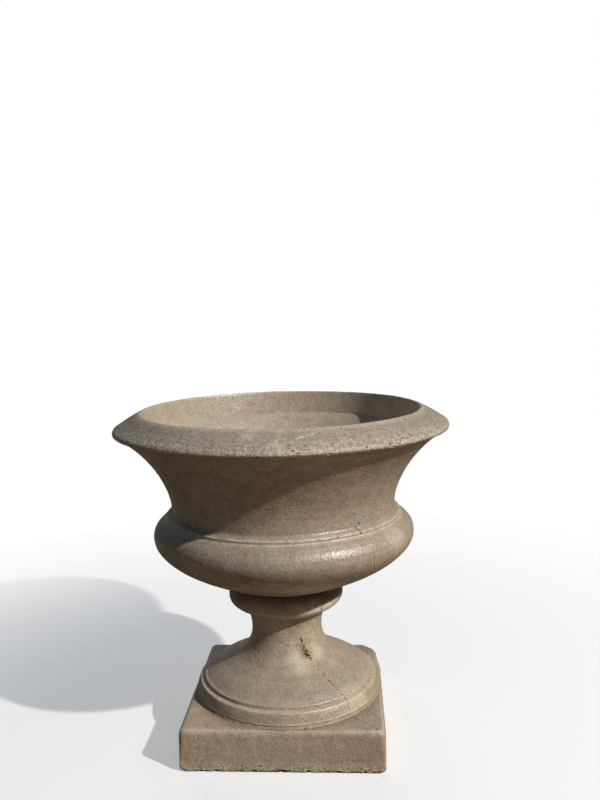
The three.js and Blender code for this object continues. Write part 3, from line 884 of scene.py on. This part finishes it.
# Only the camera sees the floor as pale, and as white further out. What the floor throws back up at the stone is the
# light of brown earth.
seen = floor_nodes.new("ShaderNodeLightPath")
tone = floor_nodes.new("ShaderNodeMix")
tone.data_type = "RGBA"
tone.inputs["A"].default_value = (0.235, 0.172, 0.12, 1)
tone.inputs["B"].default_value = (0.9, 0.9, 0.89, 1)
floor_link(seen.outputs["Is Camera Ray"], tone.inputs["Factor"])
floor_link(tone.outputs["Result"], floor_shader.inputs["Base Color"])
white = floor_nodes.new("ShaderNodeEmission")
white.inputs["Color"].default_value = (1, 1, 1, 1)
away = floor_nodes.new("ShaderNodeVectorMath")
away.operation = "LENGTH"
floor_link(floor_nodes.new("ShaderNodeTexCoord").outputs["Object"], away.inputs[0])
fade = floor_nodes.new("ShaderNodeMapRange")
fade.interpolation_type = "SMOOTHSTEP"
fade.inputs["From Min"].default_value = 0.6
fade.inputs["From Max"].default_value = 2.2
fade.inputs["To Min"].default_value = 0.35
floor_link(away.outputs["Value"], fade.inputs["Value"])
share = floor_nodes.new("ShaderNodeMath")
share.operation = "MULTIPLY"
floor_link(fade.outputs["Result"], share.inputs[0])
floor_link(seen.outputs["Is Camera Ray"], share.inputs[1])
both = floor_nodes.new("ShaderNodeMixShader")
floor_link(share.outputs["Value"], both.inputs["Fac"])
floor_link(floor_shader.outputs["BSDF"], both.inputs[1])
floor_link(white.outputs["Emission"], both.inputs[2])
floor_link(both.outputs["Shader"], floor_nodes["Material Output"].inputs["Surface"])
ground.data.materials.append(floor_paint)

# The sky is white to the camera alone. Its light is blue and comes mostly from overhead.
sky = bpy.data.worlds.new("studio_white")
sky.use_nodes = True
sky_nodes = sky.node_tree.nodes
sky_link = sky.node_tree.links.new
sky_light = sky_nodes["Background"]
sky_light.inputs["Color"].default_value = (0.5, 0.72, 1, 1)
sky_up = sky_nodes.new("ShaderNodeSeparateXYZ")
sky_link(sky_nodes.new("ShaderNodeTexCoord").outputs["Generated"], sky_up.inputs["Vector"])
sky_high = sky_nodes.new("ShaderNodeMapRange")
sky_high.inputs["From Min"].default_value = 0.25
sky_high.inputs["From Max"].default_value = 0.9
sky_high.inputs["To Min"].default_value = 0.03
sky_high.inputs["To Max"].default_value = 0.22
sky_link(sky_up.outputs["Z"], sky_high.inputs["Value"])
sky_link(sky_high.outputs["Result"], sky_light.inputs["Strength"])
sky_seen = sky_nodes.new("ShaderNodeBackground")
sky_seen.inputs["Color"].default_value = (1, 1, 1, 1)
sky_path = sky_nodes.new("ShaderNodeLightPath")
sky_both = sky_nodes.new("ShaderNodeMixShader")
sky_link(sky_path.outputs["Is Camera Ray"], sky_both.inputs["Fac"])
sky_link(sky_light.outputs["Background"], sky_both.inputs[1])
sky_link(sky_seen.outputs["Background"], sky_both.inputs[2])
sky_link(sky_both.outputs["Shader"], sky_nodes["World Output"].inputs["Surface"])
bpy.context.scene.world = sky

# The side and back lamps only keep the far sides from going black, so they leave no shine.
lit_middle = Vector((0, 0, 0.45))
for lamp_name, lamp_place, lamp_size, lamp_power, lamp_colour, leaves_shine in (
    ("key_lamp", (6.14, -3.99, 5.68), 0.2, 930, (1, 0.965, 0.93), True),
    ("fill_lamp", (-2.4, -1.8, 1.5), 2.0, 3, (0.6, 0.8, 1), True),
    ("side_lamp", (-2.8, 4.3, 1.4), 2.5, 60, (0.94, 0.97, 1), False),
    ("back_lamp", (0.9, 4.7, 2), 2.5, 50, (1, 0.97, 0.94), False),
):
    bpy.ops.object.light_add(type="AREA", location=lamp_place)
    lamp = bpy.context.object
    lamp.name = lamp_name
    lamp.data.size = lamp_size
    lamp.data.energy = lamp_power
    lamp.data.color = lamp_colour
    lamp.visible_camera = False
    lamp.visible_glossy = leaves_shine
    lamp.rotation_euler = (lit_middle - Vector(lamp_place)).to_track_quat("-Z", "Y").to_euler()

bpy.ops.object.camera_add(location=(0.1698, -1.9396, 1.0579), rotation=(1.44696, 0.02541, 0.06014))
camera = bpy.context.object
camera.data.sensor_width = 36
camera.data.lens = 36.6
bpy.context.scene.camera = camera
bpy.context.scene.view_settings.view_transform = "Standard"
